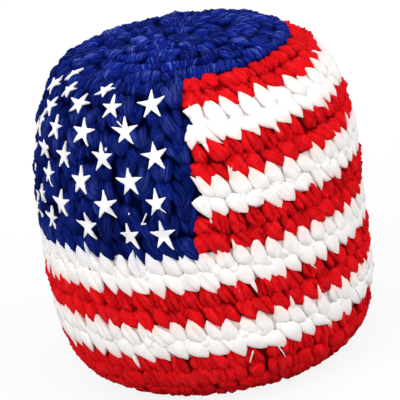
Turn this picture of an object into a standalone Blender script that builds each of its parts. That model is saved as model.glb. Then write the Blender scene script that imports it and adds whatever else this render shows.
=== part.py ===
"""Crocheted footbag: a squat, stitched cover in a stars and stripes pattern over a lined pellet fill.

The cover is worked in rounds from the crown centre down to the base centre. A place on it is an
azimuth (0 at the front, growing to the right), an arc length from the crown centre and a depth below
the crests of the stitches. Lengths are in metres, +Z is up and the bag stands on z = 0.
"""

import math

import bmesh
import bpy
import numpy as np

# Outer form, measured over the crests of the stitches
WIDEST_RADIUS = 0.0250
CROWN_RISE = 0.0281  # crown centre above the widest level
BASE_DROP = 0.0240  # base centre below the widest level
CROWN_ROUNDNESS = (2.99, 4.43)  # powers along the height and along the radius
BASE_ROUNDNESS = (4.2, 6.0)
BASE_FLAT_DEPTH = 0.0005  # the base stitches are pressed flat this deep
PROFILE_STEPS = 1500

# Crochet gauge
STITCH_WIDTH = 0.00272
ROUND_HEIGHT = 0.00271
STITCH_RELIEF = 0.0009  # from the crest of a stitch to the crease beside it
PRESSED_RELIEF = 0.0003  # the same under the base, where the weight presses the stitches
COVER_THICKNESS = 0.0026
TOOTH_HEIGHT = 0.00045  # how far a stitch's tip reaches past the middle of a colour change
NOTCH_SHARE = 0.2  # of a stitch, from one tip to the notch at its right
STITCHES_ADDED = 6  # a round has a multiple of six stitches
SEAM_GAP = 0.0005  # along the surface, between two colours
CORNER_EASE = 0.0004  # how far the inner corners of a part-round piece draw back from its seams
SLIVER_WIDTH = 0.00036  # no stitch point stands nearer than this to a piece's end
LAYER_GAP = 0.0003  # between one layer and the next

# Crown and stripes
CROWN_ARC = 0.01726  # crown centre to the first red stripe
ROUNDS_PER_STRIPE = 2
STRIPES = (
    "red_stripe_1",
    "white_stripe_1",
    "red_stripe_2",
    "white_stripe_2",
    "red_stripe_3",
    "white_stripe_3",
    "red_stripe_4",
    "white_stripe_4",
    "red_stripe_5",
)
STRIPES_BESIDE_CANTON = 5

# Canton: the blue field, which starts at the front and runs left
CANTON_FRONT_DEG = -1.9
CANTON_BACK_DEG = -126.0
CANTON_LEAN_DEG = -0.25  # sideways drift of each round

# Stars, sewn on to the canton
STAR_RADIUS = 0.00215
STAR_WAIST_RADIUS = 0.0009
STAR_THICKNESS = 0.00045
STAR_TILT_DEG = -3.0
STAR_POINTS = 5
STAR_EDGE_DEG = 12.8  # canton's front edge to the first column of stars
STAR_COLUMN_DEG = 9.63
STAR_TOP_MARGIN = 0.00435  # canton's top edge to the first full row
STAR_ROW_PITCH = 0.00376

# Each star's place, as (columns from the first, rows from the first full row)
STAR_PLACE_SHARES = (
    ((2.4, -0.6), (5.35, -1.0)),
    ((0.0, 0.0), (1.8, 0.1), (3.55, 0.1), (4.6, -0.3), (6.55, -0.2), (10.0, 0.0)),
    ((1.05, 1.05), (2.95, 1.15), (4.7, 1.25), (5.55, 0.55), (6.3, 1.4), (9.1, 1.1)),
    ((-0.05, 2.0), (2.0, 2.05), (3.95, 2.2), (5.55, 2.25), (7.6, 2.05), (10.1, 2.1)),
    ((0.95, 2.95), (3.0, 3.05), (4.95, 3.15), (7.1, 3.1), (9.1, 3.1)),
    ((0.05, 3.8), (2.0, 3.9), (4.15, 4.15), (5.65, 4.15), (8.4, 4.1), (10.1, 4.1)),
    ((0.0, 5.1), (1.2, 5.1), (2.95, 4.9), (5.2, 5.05), (6.6, 4.9), (9.2, 5.1)),
)

# Yarn loops at the two poles
POLE_HOLE_RADIUS = 0.0021  # left open by the first and the last round
LOOP_YARN_RADIUS = 0.00055
LOOP_DEPTH = 0.0014  # from the crests to the middle of the loop
LOOP_STEPS = 16
LOOP_SIDES = 8

# Inside
LINER_WALL = 0.0005
LINER_MOUTH_RADIUS = 0.0012  # the gathered mouth, tucked flat under the crown
INNER_COLUMNS = 30
INNER_ROUNDS_PER_ROW = 2

YARN_COLOURS = {
    "blue_yarn": (0.008, 0.020, 0.205, 1.0),
    "red_yarn": (0.700, 0.008, 0.014, 1.0),
    "white_yarn": (0.830, 0.810, 0.800, 1.0),
    "star_felt": (0.900, 0.900, 0.900, 1.0),
    "liner_fabric": (0.620, 0.560, 0.480, 1.0),
    "pellets": (0.700, 0.720, 0.740, 1.0),
}
YARN_ROUGHNESS = 0.85
PELLET_ROUGHNESS = 0.45


def crest_profile():
    """Arc length, radius, height above the widest level and outward normal, crown to base centre."""
    quarter = np.linspace(0.0, math.pi / 2, PROFILE_STEPS)
    across, along = np.sin(quarter), np.cos(quarter)
    upper_r = WIDEST_RADIUS * across ** (2 / CROWN_ROUNDNESS[1])
    upper_z = CROWN_RISE * along ** (2 / CROWN_ROUNDNESS[0])
    lower_r = WIDEST_RADIUS * across ** (2 / BASE_ROUNDNESS[1])
    lower_z = -BASE_DROP * along ** (2 / BASE_ROUNDNESS[0])
    radius = np.concatenate([upper_r, lower_r[-2::-1]])
    height = np.concatenate([upper_z, lower_z[-2::-1]])
    arc = np.concatenate([[0.0], np.cumsum(np.hypot(np.diff(radius), np.diff(height)))])
    slope_r, slope_z = np.gradient(radius, arc), np.gradient(height, arc)
    length = np.hypot(slope_r, slope_z)
    return arc, radius, height, -slope_z / length, slope_r / length


ARC, RADIUS, HEIGHT, NORMAL_R, NORMAL_Z = crest_profile()
WHOLE_ARC = ARC[-1]
WIDEST_LEVEL = BASE_DROP - BASE_FLAT_DEPTH


def radius_at(arc):
    return float(np.interp(arc, ARC, RADIUS))


def place(azimuth, arc, depth):
    """The point at this azimuth and arc length, this deep below the crests and never below the base."""
    radius = radius_at(arc) - depth * float(np.interp(arc, ARC, NORMAL_R))
    height = float(np.interp(arc, ARC, HEIGHT)) - depth * float(np.interp(arc, ARC, NORMAL_Z))
    level = max(height + WIDEST_LEVEL, 0.0)
    return radius * math.sin(azimuth), -radius * math.cos(azimuth), level


def canton_edge(edge_deg, arc):
    """Azimuth of one of the canton's side edges, which lean, at this arc length."""
    return math.radians(edge_deg + CANTON_LEAN_DEG * (arc - CROWN_ARC) / ROUND_HEIGHT)


class Round:
    """One round of crochet, between two arc lengths; the bag's weight may press it flat."""

    def __init__(self, top, bottom, pressed=False):
        self.bottom, self.middle = bottom, (top + bottom) / 2
        upright = float(np.interp(self.middle, ARC, NORMAL_R)) if pressed else 1.0
        self.relief = PRESSED_RELIEF + (STITCH_RELIEF - PRESSED_RELIEF) * upright
        groups = math.tau * radius_at(self.middle) / (STITCHES_ADDED * STITCH_WIDTH)
        self.stitches = STITCHES_ADDED * max(1, round(groups))
        self.step = math.tau / self.stitches
        self.turn = canton_edge(CANTON_FRONT_DEG, self.middle)

    def crests(self):
        """Azimuth and depth of each stitch's crest and of the crease beside it, all the way round."""
        row = []
        for stitch in range(self.stitches):
            crease = self.turn + stitch * self.step
            row += [(crease, self.relief), (crease + self.step / 2, 0.0)]
        return row

    def creases(self):
        """Azimuths of the holes between this round and the next."""
        return [self.turn + stitch * self.step for stitch in range(self.stitches)]

    def teeth(self):
        """Azimuth and arc length of each corner of the zigzag that this round's tips make below it."""
        row = []
        for stitch in range(self.stitches):
            tip = self.turn + stitch * self.step
            notch = tip + self.step * NOTCH_SHARE
            row += [(tip, self.bottom + TOOTH_HEIGHT), (notch, self.bottom - TOOTH_HEIGHT)]
        return row

    def tooth_arc(self, azimuth):
        corners = self.teeth()
        angles = [corner[0] for corner in corners]
        arcs = [corner[1] for corner in corners]
        return float(np.interp(azimuth, angles, arcs, period=math.tau))


def spaced_rounds(top, bottom, pressed=False):
    """Rounds of about the gauge's height that fill the arc from top to bottom."""
    count = max(1, round((bottom - top) / ROUND_HEIGHT))
    edges = np.linspace(top, bottom, count + 1)
    return [Round(above, below, pressed) for above, below in zip(edges, edges[1:])]


def cover_rounds():
    """The crown's rounds, a list of rounds for each stripe, and the rounds of the red base."""
    crown = spaced_rounds(POLE_HOLE_RADIUS, CROWN_ARC)
    stripes, arc = [], CROWN_ARC
    for _ in STRIPES:
        stripe = []
        for _ in range(ROUNDS_PER_STRIPE):
            stripe.append(Round(arc, arc + ROUND_HEIGHT))
            arc += ROUND_HEIGHT
        stripes.append(stripe)
    return crown, stripes, spaced_rounds(arc, WHOLE_ARC - POLE_HOLE_RADIUS, pressed=True)


class Span:
    """The stretch of azimuth that a piece fills: all the way round, or between two leaning edges."""

    def __init__(self, start_deg=None, end_deg=None):
        self.closed = start_deg is None
        self.start_deg, self.end_deg = start_deg, end_deg

    def edges(self, arc):
        room = LAYER_GAP / 2 * math.sqrt(2) / radius_at(arc)
        return canton_edge(self.start_deg, arc) + room, canton_edge(self.end_deg, arc) - room

    def cut(self, row, arc, at_edge):
        """The row's entries inside this span, with one entry from at_edge(azimuth) at each end."""
        if self.closed:
            turned = [(entry[0] % math.tau, *entry[1:]) for entry in row]
            return sorted(turned)
        low, high = self.edges(arc)
        clear = SLIVER_WIDTH / radius_at(arc)
        turned = [((entry[0] - low) % math.tau + low, *entry[1:]) for entry in row]
        inside = sorted(entry for entry in turned if low + clear < entry[0] < high - clear)
        return [at_edge(low), *inside, at_edge(high)]


def crest_row(span, stitches):
    row = span.cut(stitches.crests(), stitches.middle, lambda azimuth: (azimuth, stitches.relief / 2))
    return [(azimuth, stitches.middle, depth) for azimuth, depth in row]


def crease_row(span, stitches):
    row = [(azimuth,) for azimuth in stitches.creases()]
    row = span.cut(row, stitches.bottom, lambda azimuth: (azimuth,))
    return [(azimuth, stitches.bottom, stitches.relief) for (azimuth,) in row]


def tooth_row(span, above, side):
    """The zigzag edge under the round above, on the upper (-1) or the lower (1) side of its seam."""
    shift = side * SEAM_GAP / 2
    row = span.cut(above.teeth(), above.bottom, lambda azimuth: (azimuth, above.tooth_arc(azimuth)))
    return [(azimuth, arc + shift, above.relief) for azimuth, arc in row]


def plain_row(span, arc, depth, columns=INNER_COLUMNS):
    row = [(math.tau * column / columns,) for column in range(columns)]
    row = span.cut(row, arc, lambda azimuth: (azimuth,))
    return [(azimuth, arc, depth) for (azimuth,) in row]


def inner_rows(span, rounds, top, bottom, depth):
    """Plain rows on the inner face, from the bottom up, at every second round and at both edges."""
    arcs = [stitches.bottom for stitches in rounds[INNER_ROUNDS_PER_ROW - 1 : -1 : INNER_ROUNDS_PER_ROW]]
    rows = [plain_row(span, arc, depth) for arc in [bottom, *reversed(arcs), top]]
    if not span.closed:
        for row, inward in ((rows[0], -1), (rows[-1], 1)):
            for end in (0, -1):
                azimuth, arc, _ = row[end]
                row[end] = (azimuth, arc + inward * CORNER_EASE, depth)
    return rows


def outer_rows(span, rounds):
    rows = []
    for stitches in rounds:
        rows.append(crest_row(span, stitches))
        if stitches is not rounds[-1]:
            rows.append(crease_row(span, stitches))
    return rows


def zip_chains(mesh, upper, lower, closed):
    """Triangles between two chains of (key, vertex), each sorted by its key."""
    if closed:
        upper = [*upper, (upper[0][0] + math.tau, upper[0][1])]
        lower = [*lower, (lower[0][0] + math.tau, lower[0][1])]
    i = j = 0
    while i < len(upper) - 1 or j < len(lower) - 1:
        step_upper = j == len(lower) - 1 or (
            i < len(upper) - 1 and upper[i][0] + upper[i + 1][0] <= lower[j][0] + lower[j + 1][0]
        )
        if step_upper:
            mesh.faces.new((upper[i][1], lower[j][1], upper[i + 1][1]))
            i += 1
        else:
            mesh.faces.new((upper[i][1], lower[j][1], lower[j + 1][1]))
            j += 1


def chain_of(mesh, row):
    return [(azimuth, mesh.verts.new(place(azimuth, arc, depth))) for azimuth, arc, depth in row]


def close_ends(mesh, outer, inner):
    """Both end faces of a piece that doesn't go all the way round."""
    for end in (0, -1):
        outside = [(key, chain[end][1]) for key, chain in enumerate(outer)]
        inside = [(key, chain[end][1]) for key, chain in enumerate(reversed(inner))]
        scale = (len(outside) - 1) / (len(inside) - 1)
        zip_chains(mesh, outside, [(key * scale, vertex) for key, vertex in inside], False)


def shell(name, material, span, outer, inner):
    """A closed piece of cover: rows down its outer face, then rows up its inner face."""
    mesh = bmesh.new()
    outer_chains = [chain_of(mesh, row) for row in outer]
    inner_chains = [chain_of(mesh, row) for row in inner]
    loop = outer_chains + inner_chains
    for upper, lower in zip(loop, loop[1:]):
        zip_chains(mesh, upper, lower, span.closed)
    zip_chains(mesh, outer_chains[0], inner_chains[-1], span.closed)
    if not span.closed:
        close_ends(mesh, outer_chains, inner_chains)
    return finish(name, material, mesh)


def finish(name, material, mesh):
    """Turns a bmesh into a named object with its faces out, smooth where they run on."""
    bmesh.ops.recalc_face_normals(mesh, faces=mesh.faces)
    if mesh.calc_volume(signed=True) < 0:
        bmesh.ops.reverse_faces(mesh, faces=mesh.faces)
    data = bpy.data.meshes.new(name)
    mesh.to_mesh(data)
    mesh.free()
    data.shade_smooth()
    data.set_sharp_from_angle(angle=math.radians(60))
    data.materials.append(material)
    piece = bpy.data.objects.new(name, data)
    bpy.context.scene.collection.objects.link(piece)
    return piece


def make_material(name, colour, roughness):
    material = bpy.data.materials.new(name)
    material.use_nodes = True
    shader = material.node_tree.nodes["Principled BSDF"]
    shader.inputs["Base Color"].default_value = colour
    shader.inputs["Roughness"].default_value = roughness
    shader.inputs["Metallic"].default_value = 0.0
    return material


def make_crown(rounds, blue):
    everywhere = Span()
    hole = plain_row(everywhere, POLE_HOLE_RADIUS, STITCH_RELIEF / 2)
    seam = tooth_row(everywhere, rounds[-1], -1)
    bottom = rounds[-1].bottom - SEAM_GAP / 2
    inner = inner_rows(everywhere, rounds, POLE_HOLE_RADIUS, bottom, COVER_THICKNESS)
    shell("crown_disc", blue, everywhere, [hole, *outer_rows(everywhere, rounds), seam], inner)


def make_band(name, material, span, above, rounds):
    """A band of rounds that starts at the zigzag of the round above and ends at its own."""
    top, bottom = above.bottom + SEAM_GAP / 2, rounds[-1].bottom - SEAM_GAP / 2
    outer = [tooth_row(span, above, 1), *outer_rows(span, rounds), tooth_row(span, rounds[-1], -1)]
    shell(name, material, span, outer, inner_rows(span, rounds, top, bottom, COVER_THICKNESS))


def make_base(rounds, above, red):
    """The pressed-flat red disc under the last stripe."""
    everywhere = Span()
    last = WHOLE_ARC - POLE_HOLE_RADIUS
    hole = plain_row(everywhere, last, STITCH_RELIEF / 2)
    top = above.bottom + SEAM_GAP / 2
    inner = inner_rows(everywhere, rounds, top, last, COVER_THICKNESS)
    outer = [tooth_row(everywhere, above, 1), *outer_rows(everywhere, rounds), hole]
    shell("base_disc", red, everywhere, outer, inner)


def make_star(name, felt, azimuth, arc):
    """One five-pointed star, bent to the cover, with its lower face just clear of the crests."""
    mesh = bmesh.new()
    faces = []
    for depth in (-LAYER_GAP, -LAYER_GAP - STAR_THICKNESS):
        outline = []
        for corner in range(2 * STAR_POINTS):
            reach = STAR_WAIST_RADIUS if corner % 2 else STAR_RADIUS
            angle = math.pi * corner / STAR_POINTS + math.radians(STAR_TILT_DEG)
            across, down = reach * math.sin(angle), -reach * math.cos(angle)
            corner_place = place(azimuth + across / radius_at(arc), arc + down, depth)
            outline.append(mesh.verts.new(corner_place))
        faces.append((mesh.verts.new(place(azimuth, arc, depth)), outline))
    (_, under), (_, over) = faces
    for i in range(2 * STAR_POINTS):
        after = (i + 1) % (2 * STAR_POINTS)
        for middle, outline in faces:
            mesh.faces.new((middle, outline[i], outline[after]))
        mesh.faces.new((under[i], under[after], over[after], over[i]))
    finish(name, felt, mesh)


def make_stars(felt):
    for row, places in enumerate(STAR_PLACE_SHARES, start=1):
        for number, (columns, rows) in enumerate(places, start=1):
            azimuth = math.radians(CANTON_FRONT_DEG - STAR_EDGE_DEG - columns * STAR_COLUMN_DEG)
            arc = CROWN_ARC + STAR_TOP_MARGIN + rows * STAR_ROW_PITCH
            make_star(f"star_{row}_{number}", felt, azimuth, arc)


def make_loop(name, material, arc):
    """The drawn-up loop of yarn that the rounds start from, or are gathered on, at a pole."""
    mesh = bmesh.new()
    ring_radius = POLE_HOLE_RADIUS - LAYER_GAP - LOOP_YARN_RADIUS
    level = place(0.0, arc, LOOP_DEPTH)[2]
    rings = []
    for step in range(LOOP_STEPS):
        turn = math.tau * step / LOOP_STEPS
        ring = []
        for side in range(LOOP_SIDES):
            angle = math.tau * side / LOOP_SIDES
            out = ring_radius + LOOP_YARN_RADIUS * math.cos(angle)
            up = level + LOOP_YARN_RADIUS * math.sin(angle)
            ring.append(mesh.verts.new((out * math.sin(turn), -out * math.cos(turn), up)))
        rings.append(ring)
    for step, ring in enumerate(rings):
        after = rings[(step + 1) % LOOP_STEPS]
        for side in range(LOOP_SIDES):
            other = (side + 1) % LOOP_SIDES
            mesh.faces.new((ring[side], ring[other], after[other], after[side]))
    finish(name, material, mesh)


def layer_arcs(crown, stripes, base):
    """Arc lengths of the seams and of every second round at both ends, which all layers share."""
    arcs = [stitches.bottom for stitches in crown[INNER_ROUNDS_PER_ROW - 1 : -1 : INNER_ROUNDS_PER_ROW]]
    arcs += [rounds[-1].bottom for rounds in (crown, *stripes)]
    return arcs + [stitches.bottom for stitches in base[INNER_ROUNDS_PER_ROW - 1 : -1 : INNER_ROUNDS_PER_ROW]]


def make_liner(arcs, fabric):
    """A thin pouch against the cover, open at the small gathered mouth under the crown."""
    everywhere, outside = Span(), COVER_THICKNESS + LAYER_GAP
    stops = [LINER_MOUTH_RADIUS, *arcs, WHOLE_ARC - POLE_HOLE_RADIUS]
    outer = [plain_row(everywhere, arc, outside) for arc in stops]
    inner = [plain_row(everywhere, arc, outside + LINER_WALL) for arc in reversed(stops)]
    mesh = bmesh.new()
    outer_chains = [chain_of(mesh, row) for row in outer]
    inner_chains = [chain_of(mesh, row) for row in inner]
    for chains in (outer_chains, inner_chains):
        for upper, lower in zip(chains, chains[1:]):
            zip_chains(mesh, upper, lower, True)
    zip_chains(mesh, inner_chains[-1], outer_chains[0], True)
    cap_disc(mesh, outer_chains[-1], WHOLE_ARC, outside)
    cap_disc(mesh, inner_chains[0], WHOLE_ARC, outside + LINER_WALL)
    finish("inner_liner", fabric, mesh)


def cap_disc(mesh, chain, arc, depth):
    """Closes a ring of vertices with a fan round the point at a pole."""
    middle = mesh.verts.new(place(0.0, arc, depth))
    for (_, vertex), (_, after) in zip(chain, [*chain[1:], chain[0]]):
        mesh.faces.new((middle, vertex, after))


def make_fill(arcs, pellets):
    """The packed pellets, as one solid that fills the liner."""
    depth = COVER_THICKNESS + LINER_WALL + 2 * LAYER_GAP
    everywhere = Span()
    mesh = bmesh.new()
    stops = [LINER_MOUTH_RADIUS, *arcs, WHOLE_ARC - POLE_HOLE_RADIUS]
    chains = [chain_of(mesh, plain_row(everywhere, arc, depth)) for arc in stops]
    for upper, lower in zip(chains, chains[1:]):
        zip_chains(mesh, upper, lower, True)
    cap_disc(mesh, chains[0], 0.0, depth)
    cap_disc(mesh, chains[-1], WHOLE_ARC, depth)
    finish("pellet_fill", pellets, mesh)


def main():
    for old in list(bpy.data.objects):
        bpy.data.objects.remove(old)
    materials = {
        name: make_material(name, colour, PELLET_ROUGHNESS if name == "pellets" else YARN_ROUGHNESS)
        for name, colour in YARN_COLOURS.items()
    }
    blue, red, white = (materials[f"{colour}_yarn"] for colour in ("blue", "red", "white"))
    crown, stripes, base = cover_rounds()

    make_crown(crown, blue)
    beside = [stitches for stripe in stripes[:STRIPES_BESIDE_CANTON] for stitches in stripe]
    canton = Span(CANTON_BACK_DEG, CANTON_FRONT_DEG)
    make_band("canton_panel", blue, canton, crown[-1], beside)

    above = crown[-1]
    for number, (name, stripe) in enumerate(zip(STRIPES, stripes)):
        short = number < STRIPES_BESIDE_CANTON
        span = Span(CANTON_FRONT_DEG, CANTON_BACK_DEG + math.degrees(math.tau)) if short else Span()
        make_band(name, red if name.startswith("red") else white, span, above, stripe)
        above = stripe[-1]
    make_base(base, above, red)

    make_loop("start_loop", blue, 0.0)
    make_loop("closing_loop", red, WHOLE_ARC)
    make_stars(materials["star_felt"])
    arcs = layer_arcs(crown, stripes, base)
    make_liner(arcs, materials["liner_fabric"])
    make_fill(arcs, materials["pellets"])


main()
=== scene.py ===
"""Looks of the crocheted footbag: each stitch of its cover as plump legs of yarn, and felt stars.

The cover is worked in rounds from the crown centre down to the base centre. A place on it is an
azimuth (0 at the front, growing to the right), an arc length from the crown centre and a lift off
the crests of the stitches. Lengths are in metres, +Z is up and the bag stands on z = 0.
"""

import math
from collections import namedtuple

import bpy
import numpy as np
from mathutils import Matrix, Vector
from mathutils.bvhtree import BVHTree


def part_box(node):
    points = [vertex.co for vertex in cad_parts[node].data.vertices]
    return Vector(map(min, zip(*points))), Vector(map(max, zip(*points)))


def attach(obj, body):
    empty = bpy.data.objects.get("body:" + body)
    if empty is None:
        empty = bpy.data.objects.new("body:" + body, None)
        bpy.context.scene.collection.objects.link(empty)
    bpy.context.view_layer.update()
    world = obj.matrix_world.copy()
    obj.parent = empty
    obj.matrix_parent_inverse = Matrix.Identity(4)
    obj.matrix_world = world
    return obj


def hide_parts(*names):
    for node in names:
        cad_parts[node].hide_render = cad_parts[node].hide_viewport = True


MM = 0.001
FULL_TURN = math.tau

# Outer form over the crests, and the crochet gauge, as the solids have them
WIDEST_RADIUS = 0.0250
CROWN_RISE = 0.0281
BASE_DROP = 0.0240
CROWN_ROUNDNESS = (2.99, 4.43)
BASE_ROUNDNESS = (4.2, 6.0)
BASE_FLAT_DEPTH = 0.0005
WIDEST_LEVEL = BASE_DROP - BASE_FLAT_DEPTH
PROFILE_STEPS = 1500
STITCH_WIDTH = 0.00272
ROUND_HEIGHT = 0.00271
STITCHES_ADDED = 6
CROWN_ARC = 0.01726
ROUNDS_PER_STRIPE = 2
STRIPES = 9
STRIPES_BESIDE_CANTON = 5
CANTON_FRONT_DEG = -1.9
CANTON_BACK_DEG = -126.0
CANTON_LEAN_DEG = -0.25
POLE_HOLE_RADIUS = 0.0021

# Height over the floor within which the yarn is pressed together
PRESSED_HEIGHT = 0.0003

# Stars, as the solids have them
STAR_RADIUS = 0.00215
STAR_WAIST_RADIUS = 0.0009
STAR_THICKNESS = 0.00045
STAR_TILT_DEG = -3.0
STAR_POINTS = 5
STAR_EDGE_DEG = 12.8
STAR_COLUMN_DEG = 9.63
STAR_TOP_MARGIN = 0.00435
STAR_ROW_PITCH = 0.00376
STAR_PLACE_SHARES = (
    ((2.4, -0.6), (5.35, -1.0)),
    ((0.0, 0.0), (1.8, 0.1), (3.55, 0.1), (4.6, -0.3), (6.55, -0.2), (10.0, 0.0)),
    ((1.05, 1.05), (2.95, 1.15), (4.7, 1.25), (5.55, 0.55), (6.3, 1.4), (9.1, 1.1)),
    ((-0.05, 2.0), (2.0, 2.05), (3.95, 2.2), (5.55, 2.25), (7.6, 2.05), (10.1, 2.1)),
    ((0.95, 2.95), (3.0, 3.05), (4.95, 3.15), (7.1, 3.1), (9.1, 3.1)),
    ((0.05, 3.8), (2.0, 3.9), (4.15, 4.15), (5.65, 4.15), (8.4, 4.1), (10.1, 4.1)),
    ((0.0, 5.1), (1.2, 5.1), (2.95, 4.9), (5.2, 5.05), (6.6, 4.9), (9.2, 5.1)),
)

# Stars cut smaller or pulled into the yarn: shares of width and height, and shift to the right per height
STAR_STRETCHES = {
    "star_1_1": (0.62, 0.62, 0.75),
    "star_1_2": (0.34, 0.80, 0.12),
    "star_2_2": (0.86, 0.84, 0.15),
    "star_2_3": (0.84, 0.92, 0.32),
    "star_2_4": (0.62, 0.72, 0.45),
    "star_2_5": (0.66, 0.95, 0.40),
    "star_3_2": (0.92, 0.96, 0.10),
    "star_3_3": (0.90, 0.98, 0.05),
    "star_3_4": (0.82, 0.86, 0.42),
    "star_4_3": (0.86, 0.95, 0.00),
    "star_4_4": (0.90, 0.86, 0.00),
    "star_5_3": (0.88, 0.86, 0.00),
    "star_6_1": (0.84, 0.98, 0.00),
    "star_6_4": (0.55, 0.80, 0.00),
    "star_7_2": (0.90, 0.95, 0.00),
    "star_7_4": (1.00, 0.82, -0.10),
}
STAR_STRETCH = (0.95, 1.04, 0.0)

# Reach of a star's points, clockwise from the top
STAR_REACHES = {
    "star_6_1": (1.00, 0.86, 0.45, 1.00, 0.95),
    "star_7_1": (0.98, 0.92, 1.14, 1.00, 0.92),
    "star_7_2": (1.05, 0.80, 1.12, 0.72, 0.96),
}

# How the stars are cut, with blunt tips. The steps are along a tip and along the two sides after it.
STAR_WAIST_SHARE = 0.88
STAR_REACH_SPREAD = 0.06
STAR_TURN_SPREAD_DEG = 3.0
STAR_TIP_WIDTH = 0.00013
STAR_TIP_RANGE = (0.4, 1.6)
STAR_STEPS = (2, 6, 6)

# How the felt lies on the yarn: rings of points as shares of the outline, the deepest hollow that it
# follows, its lift off the mean yarn and clearance over the highest, and shares of its thickness above
# that lift and down its side
FELT_RINGS = (1.0, 0.90, 0.75, 0.55, 0.35, 0.15)
FELT_DEEPEST = -0.0008
FELT_SMOOTH_WIDTH = 0.0006
FELT_CLEAR_WIDTH = 0.0005
FELT_LIFT = 0.0001
FELT_CLEARANCE = 0.00004
FELT_EDGE_DROP = 0.00007
FELT_TOP_SHARE = 0.2
FELT_SIDE_SHARE = 0.5
FELT_SHARP_DEG = 50

# Lift from which the yarn under a star is sought, and its lift where there is none
DRAPE_FROM = 0.003
DRAPE_NONE = -0.001

# A lobe of yarn, as four control values of cubic curves from its root to its tip: its two sides in
# stitches across and rounds down, the lift of its crest and its half thickness in millimetres. The
# sides come in the order that turns the lobe's faces out.
LOBES = {
    "lower": (
        ((-0.24, -0.16), (-0.32, 0.55), (0.20, 0.95), (0.97, 1.26)),
        ((0.52, -0.12), (1.04, 0.06), (1.20, 0.78), (1.04, 1.26)),
        (-0.30, 0.20, 0.14, -0.15), (0.50, 0.90, 0.70, 0.20),
    ),
    "upper": (
        ((1.00, 1.24), (1.24, 0.66), (0.68, 0.00), (0.27, -0.50)),
        ((0.40, 1.12), (-0.16, 0.66), (-0.08, 0.02), (0.15, -0.48)),
        (-0.22, 0.20, 0.16, -0.50), (0.50, 0.90, 0.70, 0.25),
    ),
    "brim": (
        ((0.26, -0.16), (-0.28, 0.05), (-0.05, 0.90), (0.30, 1.22)),
        ((0.74, -0.16), (1.25, 0.05), (1.20, 0.80), (0.95, 1.22)),
        (-0.50, 0.18, 0.22, -0.40), (0.50, 0.85, 0.85, 0.40),
    ),
    "finger": (
        ((0.10, -0.22), (-0.15, 0.10), (-0.02, 0.85), (0.10, 1.18)),
        ((0.90, -0.22), (1.15, 0.10), (1.05, 0.85), (0.90, 1.18)),
        (-0.80, 0.38, 0.28, -0.90), (0.50, 0.80, 0.80, 0.40),
    ),
    "plump": (
        ((0.32, -0.22), (-0.18, 0.20), (-0.12, 0.95), (0.20, 1.28)),
        ((0.90, -0.25), (1.20, 0.10), (1.08, 0.80), (0.66, 1.30)),
        (-1.10, 0.46, 0.42, -1.10), (0.50, 0.75, 0.75, 0.40),
    ),
    "fleece": (
        ((0.00, -0.30), (-0.10, 0.20), (0.00, 0.85), (0.25, 1.28)),
        ((0.88, -0.30), (1.08, 0.15), (1.15, 0.80), (1.05, 1.28)),
        (-0.95, 0.36, 0.24, -1.00), (0.50, 0.80, 0.80, 0.40),
    ),
    "pressed": (
        ((0.05, -0.22), (-0.05, 0.40), (0.20, 0.90), (0.55, 1.25)),
        ((0.95, -0.22), (1.25, 0.35), (1.30, 0.90), (0.95, 1.25)),
        (-0.25, 0.08, 0.06, -0.25), (0.50, 0.80, 0.70, 0.30),
    ),
    "horn": (
        ((1.00, -0.20), (0.62, -0.30), (0.30, -0.04), (-0.06, 0.12)),
        ((1.00, 1.00), (0.55, 1.00), (0.30, 0.44), (-0.06, 0.22)),
        (-0.30, 0.45, 0.30, 0.10), (0.50, 0.80, 0.50, 0.12),
    ),
    "cuff": (
        ((0.85, -0.15), (0.35, -0.25), (0.00, 0.10), (-0.10, 0.68)),
        ((0.85, 0.80), (0.50, 0.90), (0.20, 0.90), (-0.06, 0.80)),
        (-0.30, 0.40, 0.30, 0.10), (0.50, 0.75, 0.50, 0.12),
    ),
    "foot": (
        ((0.00, 0.40), (-0.04, 0.62), (0.04, 0.95), (0.20, 1.26)),
        ((0.62, 0.35), (0.70, 0.60), (0.50, 0.95), (0.26, 1.26)),
        (-0.30, 0.35, 0.25, 0.05), (0.45, 0.60, 0.45, 0.12),
    ),
    "spur": (
        ((1.00, 0.00), (0.65, -0.08), (0.38, -0.14), (0.04, -0.36)),
        ((0.90, 0.95), (0.50, 0.85), (0.32, 0.22), (0.06, -0.24)),
        (-0.30, 0.40, 0.30, 0.10), (0.50, 0.70, 0.45, 0.12),
    ),
    "wedge": (
        ((1.10, -0.10), (0.60, -0.30), (0.25, -0.24), (-0.02, -0.12)),
        ((1.10, 1.22), (0.85, 1.02), (0.36, 0.56), (0.00, 0.02)),
        (-0.20, 0.38, 0.32, 0.10), (0.50, 0.75, 0.50, 0.12),
    ),
    "knob": (
        ((0.20, -0.08), (-0.24, 0.10), (-0.24, 0.85), (0.20, 1.08)),
        ((0.62, -0.08), (0.95, 0.25), (0.95, 0.75), (0.62, 1.08)),
        (-0.45, 0.40, 0.35, -0.45), (0.50, 0.80, 0.80, 0.40),
    ),
    "knot": (
        ((0.78, -0.42), (0.55, -0.20), (0.62, 0.25), (0.92, 0.48)),
        ((1.12, -0.42), (1.38, -0.20), (1.38, 0.20), (1.16, 0.48)),
        (-0.60, 0.16, 0.10, -0.50), (0.45, 0.70, 0.70, 0.40),
    ),
    "spike upper": (
        ((0.46, 0.25), (0.36, -0.10), (0.22, -0.42), (0.12, -0.70)),
        ((0.10, 0.25), (0.08, -0.10), (0.07, -0.42), (0.07, -0.70)),
        (-0.10, 0.15, 0.10, 0.00), (0.35, 0.35, 0.22, 0.08),
    ),
    "spike lower": (
        ((0.70, 0.78), (0.82, 1.05), (0.98, 1.30), (1.10, 1.55)),
        ((1.00, 0.75), (1.10, 1.05), (1.14, 1.30), (1.15, 1.55)),
        (-0.05, 0.15, 0.10, 0.00), (0.35, 0.35, 0.22, 0.08),
    ),
}

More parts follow.
